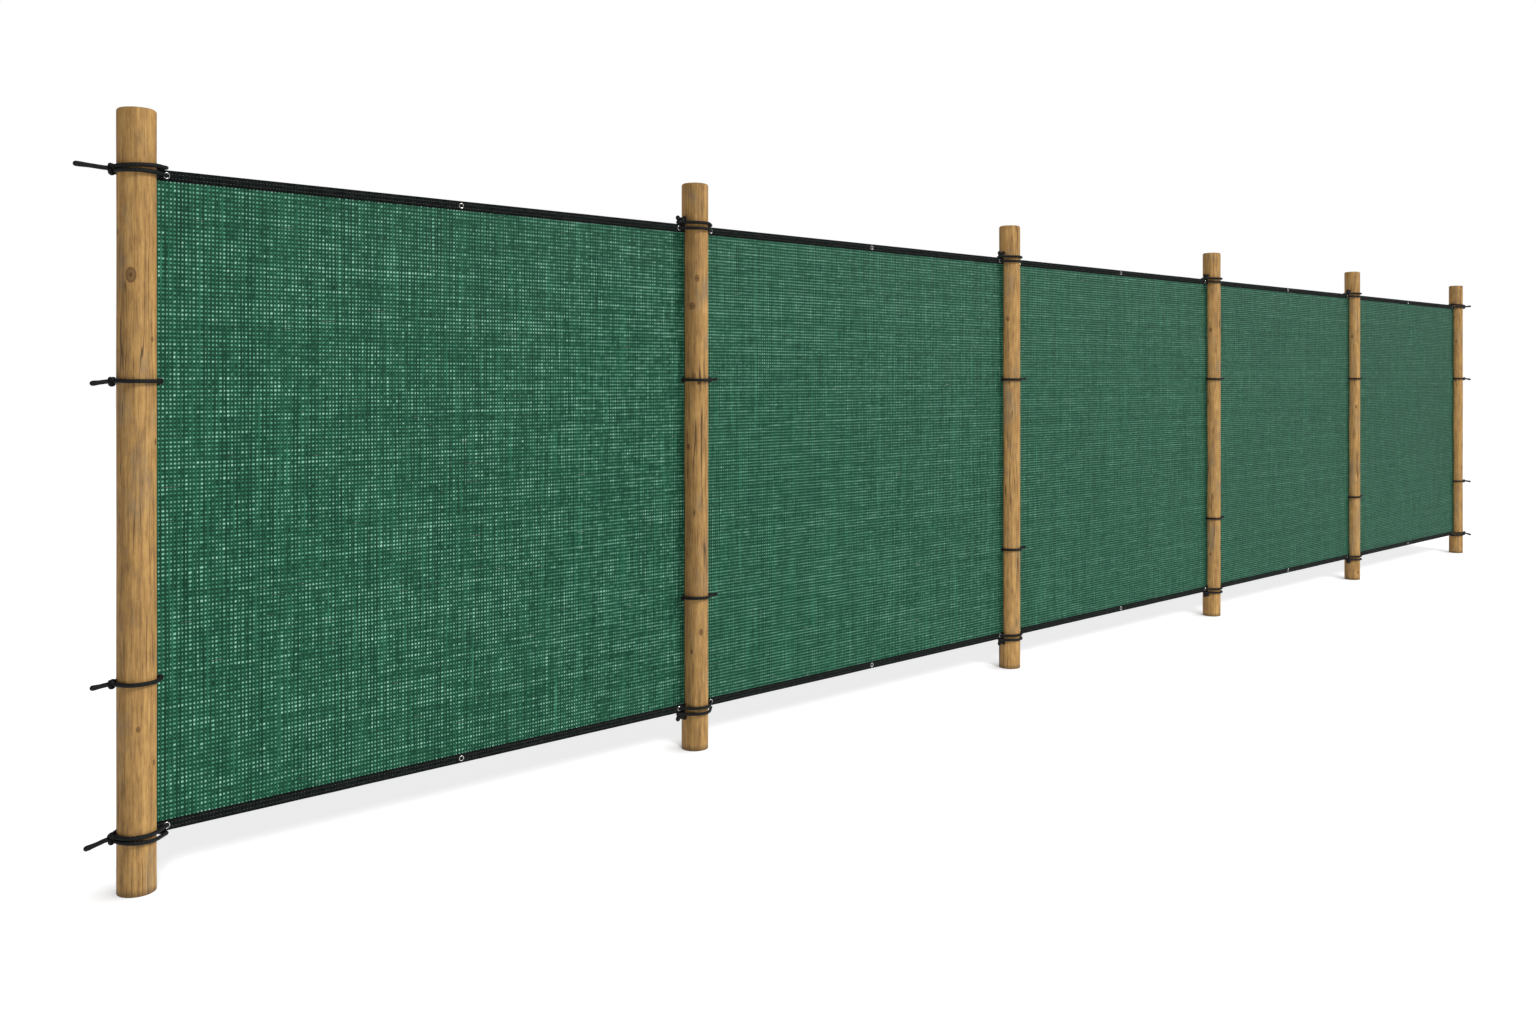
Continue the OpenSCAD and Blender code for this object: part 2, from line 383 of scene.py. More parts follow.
# Tapes. A run is the number of loops or rows over which a random change takes place
ROW_PITCH = 11.7 * MM
ROW_WIDTH = 12.8 * MM
ROW_CROWN = 0.4 * MM
ROW_DRIFT = 0.33 * MM
ROW_DRIFT_RUN = 4
# Tones of a tape: a painted highlight along its middle and painted shade at its edges
TAPE_HIGHLIGHT_TONE = 2.42
TAPE_EDGE_SHADE_TONE = -2.6
TAPE_SHADED_EDGE_SHARE = 0.3
ROW_TONES = 0.18
RUN_TONES = 0.36
RUN_TONES_RUN = 6
COLUMN_TONES = 0.28
COLUMN_TONES_RUN = 8
LOOP_TONES = 0.46
# Pillars. A run is a number of stations, which are PILLAR_ROWS rows apart
PILLAR_PITCH = 10.5 * MM
PILLAR_WIDTH = 5.0 * MM
PILLAR_LIFT = 0.5 * MM
PILLAR_ROWS = 3
PILLAR_DRIFT = 0.75 * MM
PILLAR_DRIFT_RUN = 7
STITCH_WAVE = 0.12
PILLAR_TONE = -0.55
PILLAR_TONES = 0.2
PILLAR_RUN_TONES = 2.0
PILLAR_TONES_RUN = 4


def knit_net(i, surface):
    """One panel: crowned tapes across it, and ribbons of stitches down both its faces."""
    low, high = node_box(f"net_{i}")
    rng = np.random.default_rng(NET_SEED + i)
    uneven = UNEVEN[i - 1]
    pillars = round((high[0] - low[0]) / PILLAR_PITCH)
    rows = round((high[2] - low[2]) / ROW_PITCH)
    pillar_x = np.linspace(low[0] + PILLAR_WIDTH / 2, high[0] - PILLAR_WIDTH / 2, pillars)
    row_z = np.linspace(low[2] + ROW_WIDTH / 2, high[2] - ROW_WIDTH / 2, rows)
    phase = rng.uniform(0, FULL_TURN, 2)

    def ripple(x, z):
        """The panel's own slight unevenness, none at its hems."""
        wave = np.sin(FULL_TURN * x / RIPPLE_LENGTHS[0] + phase[0])
        wave = wave * np.sin(FULL_TURN * z / RIPPLE_LENGTHS[1] + phase[1])
        return RIPPLE * wave * np.sin(math.pi * (z - low[2]) / (high[2] - low[2]))

    loop_x = np.concatenate([[low[0]], (pillar_x[1:] + pillar_x[:-1]) / 2, [high[0]]])
    stations = np.append(row_z[::PILLAR_ROWS], high[2])
    stations[0] = low[2]
    ribbons, tones = inlay_tapes(rng, uneven, loop_x, row_z, ripple)
    for face_ribbons, face_tones in stitch_pillars(rng, uneven, pillar_x, stations, ripple):
        ribbons.append(face_ribbons)
        tones.append(face_tones)
    return ribbon_piece(f"knit_net_{i}", ribbons, tones, surface, f"net_{i}")


def inlay_tapes(rng, uneven, loop_x, row_z, ripple):
    """The tapes across a panel, crowned to the front and the back in turn, and the tones of their points: a
    painted highlight along each tape's middle and painted shade at its edges.
    """
    rows = len(row_z)
    loops = len(loop_x)
    x = loop_x + np.zeros((rows, 1))
    z = row_z[:, None] + ROW_DRIFT * wander(rng, rows, loops, ROW_DRIFT_RUN)
    half = ROW_WIDTH / 2 * (1.0 + WIDTH_SPREAD * wander(rng, rows, loops, WIDTH_RUN))
    crown = ROW_CROWN * np.where((np.arange(rows)[:, None] + np.arange(loops)) % 2, 1.0, -1.0)
    tapes = np.stack([
        np.stack([x, ripple(x, z), z - half], axis=-1),
        np.stack([x, ripple(x, z) + crown, z], axis=-1),
        np.stack([x, ripple(x, z), z + half], axis=-1),
    ], axis=2)
    change = ROW_TONES * rng.normal(size=(rows, 1)) + RUN_TONES * wander(rng, rows, loops, RUN_TONES_RUN)
    change = change + COLUMN_TONES * wander(rng, loops, rows, COLUMN_TONES_RUN).T
    change = change + LOOP_TONES * rng.normal(size=(rows, loops))
    # Painted highlight on the tape's middle and painted shade at its edges, over the random tones
    centre_highlight_tone = TAPE_HIGHLIGHT_TONE + uneven * change
    edge_shade_tone = TAPE_SHADED_EDGE_SHARE * centre_highlight_tone + TAPE_EDGE_SHADE_TONE
    return [tapes], [np.stack([edge_shade_tone, centre_highlight_tone, edge_shade_tone], axis=-1)]


def stitch_pillars(rng, uneven, pillar_x, stations, ripple):
    """The ribbons of stitches on the front and on the back, each with the tones of their points."""
    pillars = len(pillar_x)
    count = len(stations)
    x = pillar_x[:, None] + uneven * PILLAR_DRIFT * wander(rng, pillars, count, PILLAR_DRIFT_RUN)
    x[[0, -1]] = pillar_x[[0, -1], None]
    wave = 1.0 + STITCH_WAVE * np.where(np.arange(count) % 2, 1.0, -1.0)
    half = PILLAR_WIDTH / 2 * (wave + WIDTH_SPREAD * wander(rng, pillars, count, WIDTH_RUN))
    half[[0, -1]] = PILLAR_WIDTH / 2
    change = rng.normal(size=(pillars, 1))
    change = change + PILLAR_RUN_TONES * wander(rng, pillars, count, PILLAR_TONES_RUN)
    tones = np.repeat((PILLAR_TONE + PILLAR_TONES * change)[..., None], 2, axis=-1)
    z = stations + np.zeros((pillars, 1))
    faces = []
    for face in (-1.0, 1.0):
        y = ripple(x, z) + face * PILLAR_LIFT
        left = np.stack([x - half, y, z], axis=-1)
        right = np.stack([x + half, y, z], axis=-1)
        faces.append((np.stack([left, right], axis=2), tones))
    return faces


def ribbon_piece(name, stacks, tones, surface, node):
    """One piece of stacks of ribbons, each stack a grid of points by ribbon, along and across it."""
    quads = []
    first = 0
    for stack in stacks:
        index = np.arange(stack.size // 3).reshape(stack.shape[:3]) + first
        corners = [index[:, :-1, :-1], index[:, :-1, 1:], index[:, 1:, 1:], index[:, 1:, :-1]]
        quads.append(np.stack(corners, axis=-1).reshape(-1, 4))
        first += stack.size // 3
    mesh = bpy.data.meshes.new(name)
    mesh.from_pydata(np.concatenate([stack.reshape(-1, 3) for stack in stacks]), [], np.concatenate(quads))
    tone = mesh.attributes.new("tone", "FLOAT", "POINT")
    tone.data.foreach_set("value", np.concatenate([t.ravel() for t in tones]).astype(np.float32))
    return finish_piece(name, mesh, surface, node)


TONE_LOW = -3.0
TONE_HIGH = 3.5
NET_STOPS = [
    (0.0, (0.001, 0.017, 0.008)), (0.31, (0.003, 0.041, 0.020)), (0.46, (0.009, 0.074, 0.038)),
    (0.62, (0.025, 0.152, 0.085)), (0.77, (0.092, 0.292, 0.191)), (1.0, (0.320, 0.560, 0.440)),
]
NET_SCUFFS = {"scale": 260.0, "detail": 2.0}
NET_RELIEF = 0.3 * MM


def net_surface():
    """Green tape whose loops are lighter or darker, with a painted highlight along each tape's middle,
    painted shade at its edges, and faint scuffs.
    """
    surface = Surface("net_tape")
    tone = surface.add("ShaderNodeAttribute", {}, attribute_name="tone").outputs["Fac"]
    scuffs = surface.noise(**NET_SCUFFS)
    level = surface.math("ADD", tone, surface.math("SUBTRACT", scuffs, NOISE_MIDDLE))
    level = surface.mask(level, TONE_LOW, TONE_HIGH, "LINEAR")
    surface.link(surface.ramp(level, NET_STOPS), "Base Color")
    surface.set(Roughness=0.6, Specular_IOR_Level=0.12)
    surface.relief(scuffs, NET_RELIEF)
    return surface


# Posts: peeled round poles
POST_SEED = 7
POST_SIDES = 48
POST_RINGS = 64
POST_R = 50.0 * MM
POST_TOP_R = 9.0 * MM
POST_FOOT_R = 3.0 * MM
POST_ROUND_STEPS = 5
POST_SKIN = 0.9 * MM
POST_WAVES = 5
POST_WAVE_LENGTHS = (0.5, 1.4)
POST_MOST_LOBES = 3
POST_END_RINGS = 6
POST_END_CORE = 0.04
# The ends' UVs start here, beyond any height on the shaft
END_UV = 10.0


def post_unevenness(rng, heights, angles):
    """How far a pole's skin is from round and straight, by height and angle, as shares of -1 to 1."""
    uneven = np.zeros((len(heights), len(angles)))
    for wave in range(1, POST_WAVES + 1):
        turn, rise = rng.uniform(0, FULL_TURN, 2)
        length = rng.uniform(*POST_WAVE_LENGTHS)
        lobes = rng.integers(1, POST_MOST_LOBES + 1)
        around = np.sin(lobes * angles + turn)
        upward = np.sin(FULL_TURN * heights / length + rise)
        uneven += around * upward[:, None] / wave
    return uneven / np.abs(uneven).max()


def timber_post(i, surface):
    """A pole that is not quite round or straight, inside its CAD cylinder."""
    low, high = node_box(f"post_{i}")
    rng = np.random.default_rng(POST_SEED + i)
    radius = (high[0] - low[0]) / 2
    centre = (low + high) / 2
    quarter = np.linspace(0, QUARTER_TURN, POST_ROUND_STEPS)
    shaft = np.linspace(low[2] + POST_FOOT_R, high[2] - POST_TOP_R, POST_RINGS)[1:-1]
    heights = np.concatenate([
        low[2] + POST_FOOT_R * (1 - np.cos(quarter)), shaft, high[2] - POST_TOP_R * (1 - np.sin(quarter)),
    ])
    insets = np.concatenate([
        POST_FOOT_R * (1 - np.sin(quarter)), np.zeros(len(shaft)), POST_TOP_R * (1 - np.cos(quarter)),
    ])
    angles = circle(POST_SIDES)
    skin = POST_SKIN * (0.5 + 0.5 * post_unevenness(rng, heights, angles))
    reach = radius - insets[:, None] - skin
    points = np.empty((len(heights), POST_SIDES, 3))
    points[..., :2] = centre[:2] + reach[..., None] * np.stack([np.cos(angles), np.sin(angles)], axis=-1)
    points[..., 2] = heights[:, None]
    shape = Shape()
    shape.add_rings(points, along=heights)
    shares = np.linspace(1.0, POST_END_CORE, POST_END_RINGS)
    for end, order in ((0, -1), (-1, 1)):
        outer = points[end]
        middle = np.array([centre[0], centre[1], outer[0, 2]])
        disc = middle + shares[:, None, None] * (outer - middle)
        shape.add_rings(disc[:, ::order], along=END_UV + 1.0 - shares)
        shape.add_cap(disc[-1, ::order])
    return shape.piece(f"timber_post_{i}", surface, f"post_{i}", "timber")


WOOD_PALE = (0.475, 0.282, 0.096)
WOOD_MID = (0.350, 0.196, 0.063)
WOOD_DARK = (0.190, 0.104, 0.038)
WOOD_KNOT = (0.125, 0.060, 0.020)
WOOD_CRACK = (0.060, 0.034, 0.016)
WOOD_GREY = (0.200, 0.152, 0.095)
WOOD_RELIEF = 1.4 * MM
GRAIN = {"scale": 190.0, "stretch": (1.0, 1.0, 0.06), "detail": 4.0, "roughness": 0.65, "distortion": 0.3}
STREAKS = {"scale": 60.0, "stretch": (1.0, 1.0, 0.05), "detail": 3.0, "roughness": 0.5, "distortion": 0.7}
MOTTLE = {"scale": 42.0, "stretch": (1.0, 1.0, 0.40), "detail": 5.0, "roughness": 0.7}
GRAIN_SHARE = 0.40
STREAKS_SHARE = 0.28
MOTTLE_SHARE = 0.32
WOOD_STOPS = [(0.38, WOOD_DARK), (0.5, WOOD_MID), (0.60, WOOD_PALE)]
WEATHER = {"scale": 13.0, "stretch": (1.0, 1.0, 0.35), "detail": 6.0, "roughness": 0.7}
WEATHER_RANGE = (0.50, 0.70)
WEATHER_SHARE = 0.6
# Each post is darker towards its foot, over the lowest few centimetres
FOOT_DARK_HEIGHT = 26.0 * MM
FOOT_DARK_SHARE = 0.62
# Knots. Distances from a knot's middle are shares of half its width
KNOT_STRETCH = (1.0, 1.0, 0.66)
KNOT_STOPS = [
    (0.0, WOOD_CRACK), (0.16, WOOD_KNOT), (0.30, WOOD_DARK), (0.52, WOOD_DARK),
    (0.64, WOOD_KNOT), (0.78, WOOD_MID), (1.0, WOOD_MID),
]
KNOT_EDGE = (1.0, 0.7)
# Small knots, one to a cell: cells to a metre, and half a knot's width as a share of its cell
SMALL_KNOTS = 10.0
SMALL_KNOT_LEAST = 0.05
SMALL_KNOT_SPREAD = 0.10
# The plainest knots, as (post, height, turn round the post in degrees, half the width)
KNOTS = [
    (1, 1.652, -126.0, 19.0 * MM), (1, 0.445, -105.0, 8.0 * MM), (2, 1.643, -146.0, 13.0 * MM),
    (2, 0.439, -103.0, 12.0 * MM), (2, 0.368, -146.0, 9.0 * MM), (3, 1.656, -155.0, 12.0 * MM),
    (4, 1.655, -159.0, 12.0 * MM), (4, 0.360, -159.0, 9.0 * MM), (5, 1.659, -158.0, 12.0 * MM),
    (6, 1.662, -157.0, 12.0 * MM),
]
# Checks: hairlines where a stretched noise crosses its middle, in some zones alone
CHECK_LINES = {"scale": 42.0, "stretch": (1.0, 1.0, 0.03), "detail": 2.0, "roughness": 0.4, "distortion": 0.3}
CHECK_LINE_RANGE = (0.015, 0.004)
CHECK_ZONES = {"scale": 7.0, "stretch": (1.0, 1.0, 0.5), "detail": 2.0}
CHECK_ZONE_RANGE = (0.49, 0.58)
CHECK_SHARE = 0.85
CHECK_DEPTH = 0.4
# Rings on the posts' ends
END_RINGS = 12.0
END_RING_RANGE = (-0.6, 1.0)
END_RANGE = (-1.0, -0.5)


def knot_distance(surface):
    """How far a point is from the nearest knot, as a share of half that knot's width."""
    stretched = surface.position(KNOT_STRETCH)
    cells = surface.add("ShaderNodeTexVoronoi", {"Vector": stretched, "Scale": SMALL_KNOTS})
    size = surface.math("MULTIPLY", surface.parts(cells.outputs["Color"])["X"], SMALL_KNOT_SPREAD)
    size = surface.math("ADD", size, SMALL_KNOT_LEAST)
    nearest = surface.math("DIVIDE", cells.outputs["Distance"], size)
    for post, height, degrees, half_width in KNOTS:
        turn = math.radians(degrees)
        middle = np.array([post_axis(post) + POST_R * math.cos(turn), POST_R * math.sin(turn), height])
        ends = {0: stretched, 1: tuple(middle * KNOT_STRETCH)}
        away = surface.add("ShaderNodeVectorMath", ends, operation="DISTANCE").outputs["Value"]
        nearest = surface.math("MINIMUM", nearest, surface.math("DIVIDE", away, half_width))
    return nearest


def wood_checks(surface):
    """1 on the timber's hairline checks, and 0 beside them."""
    off_middle = surface.math("SUBTRACT", surface.noise(**CHECK_LINES), NOISE_MIDDLE)
    lines = surface.mask(surface.math("ABSOLUTE", off_middle), *CHECK_LINE_RANGE)
    zones = surface.mask(surface.noise(**CHECK_ZONES), *CHECK_ZONE_RANGE)
    return surface.math("MULTIPLY", lines, zones)


def wood_surface():
    """Peeled timber: grain, grey weathering, ringed knots, hairline checks, ringed ends, and darker towards
    each post's foot.
    """
    surface = Surface("peeled_timber")
    level = surface.math("MULTIPLY", surface.noise(**GRAIN), GRAIN_SHARE)
    level = surface.math("ADD", level, surface.math("MULTIPLY", surface.noise(**STREAKS), STREAKS_SHARE))
    level = surface.math("ADD", level, surface.math("MULTIPLY", surface.noise(**MOTTLE), MOTTLE_SHARE))
    colour = surface.ramp(level, WOOD_STOPS)

    weather = surface.mask(surface.noise(**WEATHER), *WEATHER_RANGE)
    colour = surface.mix(surface.math("MULTIPLY", weather, WEATHER_SHARE), colour, WOOD_GREY)

    knot = knot_distance(surface)
    colour = surface.mix(surface.mask(knot, *KNOT_EDGE), colour, surface.ramp(knot, KNOT_STOPS))

    checks = wood_checks(surface)
    colour = surface.mix(surface.math("MULTIPLY", checks, CHECK_SHARE), colour, WOOD_CRACK)

    depth = surface.math("SUBTRACT", surface.uv()["X"], END_UV)
    years = surface.math("SINE", surface.math("MULTIPLY", depth, FULL_TURN * END_RINGS))
    end_grain = surface.mix(surface.mask(years, *END_RING_RANGE), WOOD_MID, WOOD_DARK)
    colour = surface.mix(surface.mask(depth, *END_RANGE), colour, end_grain)

    # Darker towards the foot of each post
    foot_dark = surface.mask(surface.parts(surface.position())["Z"], FOOT_DARK_HEIGHT, 0.0)
    colour = surface.mix(surface.math("MULTIPLY", foot_dark, FOOT_DARK_SHARE), colour, WOOD_CRACK)
    surface.link(colour, "Base Color")
    surface.set(Roughness=0.72, Specular_IOR_Level=0.25)

    height = surface.math("SUBTRACT", level, surface.math("MULTIPLY", checks, CHECK_DEPTH))
    surface.relief(height, WOOD_RELIEF)
    return surface


# Hems: a woven tape folded over the net's edge and sewn along both its edges
HEM_SEED_STEP = 100
HEM_STATIONS = 130
HEM_FOLD_STEPS = 9
HEM_LEAF = 1.2 * MM
HEM_WAVE = 0.5 * MM
HEM_WAVE_RUN = 7
STITCH_PITCH = 9.5 * MM
STITCH_LENGTH = 6.2 * MM
STITCH_HALF_WIDTH = 0.75 * MM
STITCH_HEIGHT = 0.8 * MM
STITCH_ROWS = (8.5 * MM, 20.0 * MM)
# One stitch as a bead: its two ends and its middle, in shares of its length, half width and height
STITCH_POINTS = np.array([(-0.5, 0, 0), (0.5, 0, 0), (0, -1, 0), (0, 0, 1), (0, 1, 0)], float)
STITCH_FACES = ((0, 2, 3), (0, 3, 4), (1, 3, 2), (1, 4, 3))


def sewn_hem(i, level, surface, thread):
    """The folded tape of one hem and its stitching. The fold is up on a top hem and down on a bottom hem."""
    low, high = node_box(f"{level}_hem_{i}")
    rng = np.random.default_rng(HEM_SEED_STEP * i + len(level))
    half = (high[1] - low[1]) / 2
    width = high[2] - low[2]
    up = 1 if level == "top" else -1
    open_z = low[2] if level == "top" else high[2]
    turn = np.linspace(0, math.pi, HEM_FOLD_STEPS)
    outer = [(-half * math.cos(a), width - half + half * math.sin(a)) for a in turn]
    outer = [(-half, 0.0), *outer, (half, 0.0)]
    inner_half = half - HEM_LEAF
    inner = [(inner_half, 0.0), (inner_half, width - half), (0.0, width - HEM_LEAF),
             (-inner_half, width - half), (-inner_half, 0.0)]
    section = np.array(outer + inner)
    x = np.linspace(low[0], high[0], HEM_STATIONS)
    sway = HEM_WAVE * wander(rng, 1, HEM_STATIONS, HEM_WAVE_RUN)[0]
    points = np.empty((HEM_STATIONS, len(section), 3))
    points[..., 0] = x[:, None]
    points[..., 1] = section[:, 0] + sway[:, None]
    points[..., 2] = open_z + up * section[:, 1]
    shape = Shape()
    shape.add_rings(points[:, ::up], along=x)
    shape.add_cap(points[0, ::-up])
    shape.add_cap(points[-1, ::up])
    tape = shape.piece(f"{level}_tape_{i}", surface, f"{level}_hem_{i}", "hem")

    stitches = Shape()
    starts = low[0] + STITCH_PITCH * (np.arange(int((high[0] - low[0]) / STITCH_PITCH)) + 0.5)
    sways = np.interp(starts, x, sway)
    for face in (-1.0, 1.0):
        for row in STITCH_ROWS:
            for start, lean in zip(starts, sways):
                points = np.empty(STITCH_POINTS.shape)
                points[:, 0] = start + STITCH_LENGTH * STITCH_POINTS[:, 0]
                points[:, 1] = lean + face * (half + STITCH_HEIGHT * STITCH_POINTS[:, 2])
                points[:, 2] = open_z + up * (row + STITCH_HALF_WIDTH * STITCH_POINTS[:, 1])
                stitches.add(points, STITCH_FACES)
    seam = stitches.piece(f"{level}_stitching_{i}", thread, None, "hem")
    return tape, seam


HEM_BLACK = (0.004, 0.006, 0.006)
HEM_WORN = (0.015, 0.019, 0.017)
HEM_STOPS = [(0.42, HEM_BLACK), (0.75, HEM_WORN)]
HEM_WEAR = {"scale": 60.0, "stretch": (1.0, 1.0, 2.0), "detail": 4.0, "roughness": 0.6}
WEAVE_ACROSS = FULL_TURN / (1.6 * MM)
WEAVE_DOWN = 1.3 * WEAVE_ACROSS
WEAVE_SHARE = 0.06
WEAVE_RELIEF = 0.35 * MM


def hem_surface():
    """Black woven tape with fine ribs across it and rubbed patches."""
    surface = Surface("hem_tape")
    place = surface.parts(surface.position())
    across = surface.math("SINE", surface.math("MULTIPLY", place["X"], WEAVE_ACROSS))
    down = surface.math("SINE", surface.math("MULTIPLY", place["Z"], WEAVE_DOWN))
    weave = surface.math("MULTIPLY", across, down)
    level = surface.math("ADD", surface.noise(**HEM_WEAR), surface.math("MULTIPLY", weave, WEAVE_SHARE))
    surface.link(surface.ramp(level, HEM_STOPS), "Base Color")
    surface.set(Roughness=0.8, Specular_IOR_Level=0.06)
    surface.relief(weave, WEAVE_RELIEF)
    return surface


THREAD_GREY = (0.034, 0.039, 0.036)
THREAD_PALE = (0.100, 0.108, 0.102)
THREAD_STOPS = [(0.4, THREAD_GREY), (0.65, THREAD_PALE)]
THREAD_FIBRE = {"scale": 300.0, "detail": 2.0}
THREAD_RELIEF = 0.1 * MM


def thread_surface():
    """Dark grey sewing thread with lighter fibres."""
    surface = Surface("sewing_thread")
    fibre = surface.noise(**THREAD_FIBRE)
    surface.link(surface.ramp(fibre, THREAD_STOPS), "Base Color")
    surface.set(Roughness=0.7, Specular_IOR_Level=0.3)
    surface.relief(fibre, THREAD_RELIEF)
    return surface


# Eyelets: rolled rings clenched through the hems and the net's sides
EYELET_BORE_R = 6.0 * MM
EYELET_WALL = 0.8 * MM
EYELET_RIM_R = 9.5 * MM
EYELET_DOME = 1.5 * MM
EYELET_SIDES = 24
EYELET_ROLL_STEPS = 5
CORNER_EYELET_X = 78.0 * MM
SIDE_EYELET_X = 61.0 * MM
SIDE_EYELET_Z = (0.565, 1.370)


def hem_eyelets(i):
    """Where the eyelets of one panel's hems are, as (x, z, half the thickness they grip)."""
    left = post_axis(i)
    right = post_axis(i + 1)
    places = []
    for level in ("top", "bottom"):
        low, high = node_box(f"{level}_hem_{i}")
        grip = (high[1] - low[1]) / 2
        for x in (left + CORNER_EYELET_X, (left + right) / 2, right - CORNER_EYELET_X):
            places.append((x, (low[2] + high[2]) / 2, grip))
    return places


def side_eyelets(i):
    """The same for the eyelets in one panel's sides."""
    low, high = node_box(f"net_{i}")
    grip = (high[1] - low[1]) / 2
    columns = (post_axis(i) + SIDE_EYELET_X, post_axis(i + 1) - SIDE_EYELET_X)
    return [(x, z, grip) for x in columns for z in SIDE_EYELET_Z]


def eyelet_set(name, places, surface, node=None):
    """One piece of eyelets with a rolled rim on both faces."""
    roll = np.linspace(0, math.pi, EYELET_ROLL_STEPS)
    mid_r = (EYELET_BORE_R + EYELET_RIM_R) / 2
    half_r = (EYELET_RIM_R - EYELET_BORE_R) / 2
    neck = EYELET_BORE_R + EYELET_WALL
    angles = circle(EYELET_SIDES)
    shape = Shape()
    for x, z, grip in places:
        front = [(mid_r - half_r * math.cos(a), -grip - EYELET_DOME * math.sin(a)) for a in roll]
        back = [(r, -y) for r, y in reversed(front)]
        section = np.array(front + [(neck, -grip), (neck, grip)] + back)
        points = np.empty((len(section), EYELET_SIDES, 3))
        points[..., 0] = x + section[:, :1] * np.cos(angles)
        points[..., 1] = section[:, 1:]
        points[..., 2] = z + section[:, :1] * np.sin(angles)
        points = np.concatenate([points, points[:1]])
        shape.add_rings(points[::-1])
    return shape.piece(name, surface, node, "nickel")


NICKEL = (0.60, 0.59, 0.56)
NICKEL_DULL = (0.33, 0.32, 0.30)
BLACKED = (0.045, 0.045, 0.043)
BLACKED_DULL = (0.018, 0.018, 0.018)
PLATE_MARKS = {"scale": 420.0, "detail": 3.0}
PLATE_DULL_AT = 0.35
PLATE_BRIGHT_AT = 0.6
PLATE_ROUGHNESS_RANGE = (0.9, -0.3)
PLATE_RELIEF = 0.05 * MM


def eyelet_surface(name, bright, dull):
    """Plated metal with light handling marks."""
    surface = Surface(name)
    marks = surface.noise(**PLATE_MARKS)
    surface.link(surface.ramp(marks, [(PLATE_DULL_AT, dull), (PLATE_BRIGHT_AT, bright)]), "Base Color")
    surface.set(Metallic=1.0)
    surface.link(surface.mask(marks, *PLATE_ROUGHNESS_RANGE), "Roughness")
    surface.relief(marks, PLATE_RELIEF)
    return surface


# Ties: cord round each post and through the eyelets
TIE_SEED = 300
TIE_SEED_STEP = 10
CORD_R = 5.6 * MM
CORD_SIDES = 10
CORD_STEP = 5.0 * MM
CORD_GAP = 0.3 * MM
# Rings of a rounded end, and how much of the quarter turn they take before the end is closed flat
CORD_TIP_STEPS = 5
CORD_TIP_CLOSE = 0.96
# Below this, a path starts too near upright for its side to be taken from the vertical
LEAST_SIDE = 0.2
CURVE_STEPS = 24
ARC_STEP = 2.0 * MM
STRAND_DRIFT = 0.35 * MM
STRAND_DRIFT_RUN = 6
LASH_R = POST_R + CORD_GAP + CORD_R
CORNER_TURN_R = 8.4 * MM
SIDE_BEND_X = 61.7 * MM
# How far the second strand at a hem is from the first: over the hem's edge, and on an end post's far side
OVER_Z = 20.9 * MM
PAIR_Z = 11.5 * MM


def even_steps(path, step, closed=False):
    """The same path with points about a step apart."""
    if closed:
        path = np.concatenate([path, path[:1]])
    length = np.concatenate([[0.0], np.cumsum(np.linalg.norm(np.diff(path, axis=0), axis=1))])
    count = max(4, round(length[-1] / step))
    place = np.linspace(0, length[-1], count + 1)
    even = np.stack([np.interp(place, length, path[:, axis]) for axis in range(3)], axis=-1)
    return even[:-1] if closed else even


def curve_through(points, step):
    """A smooth path through a few points (Catmull-Rom), in even steps."""
    points = np.asarray(points, float)
    padded = np.concatenate([2 * points[:1] - points[1:2], points, 2 * points[-1:] - points[-2:-1]])
    t = np.linspace(0, 1, CURVE_STEPS, endpoint=False)[:, None]
    runs = []
    for k in range(len(points) - 1):
        a, b, c, d = padded[k : k + 4]
        runs.append(b + 0.5 * t * (c - a + t * (2 * a - 5 * b + 4 * c - d + t * (3 * (b - c) + d - a))))
    runs.append(points[-1:])
    return even_steps(np.concatenate(runs), step)


def cord_axes(path, closed):
    """The way ahead at each point of a path, and two axes across it that turn as little as they can."""
    if closed:
        ahead = np.roll(path, -1, axis=0) - np.roll(path, 1, axis=0)
    else:
        ahead = np.gradient(path, axis=0)
    ahead /= np.linalg.norm(ahead, axis=1)[:, None]
    side = np.cross(ahead[0], UP)
    if np.linalg.norm(side) < LEAST_SIDE:
        side = np.cross(ahead[0], BACK)
    sides = []
    for direction in ahead:
        side = side - direction * side.dot(direction)
        side = side / np.linalg.norm(side)
        sides.append(side)
    sides = np.array(sides)
    ups = np.cross(ahead, sides)
    if not closed:
        return ahead, sides, ups
    last = sides[-1] - ahead[0] * sides[-1].dot(ahead[0])
    slip = math.atan2(last.dot(ups[0]), last.dot(sides[0]))
    turn = (-slip * np.arange(len(path)) / len(path))[:, None]
    turned_sides = sides * np.cos(turn) + ups * np.sin(turn)
    turned_ups = ups * np.cos(turn) - sides * np.sin(turn)
    return ahead, turned_sides, turned_ups


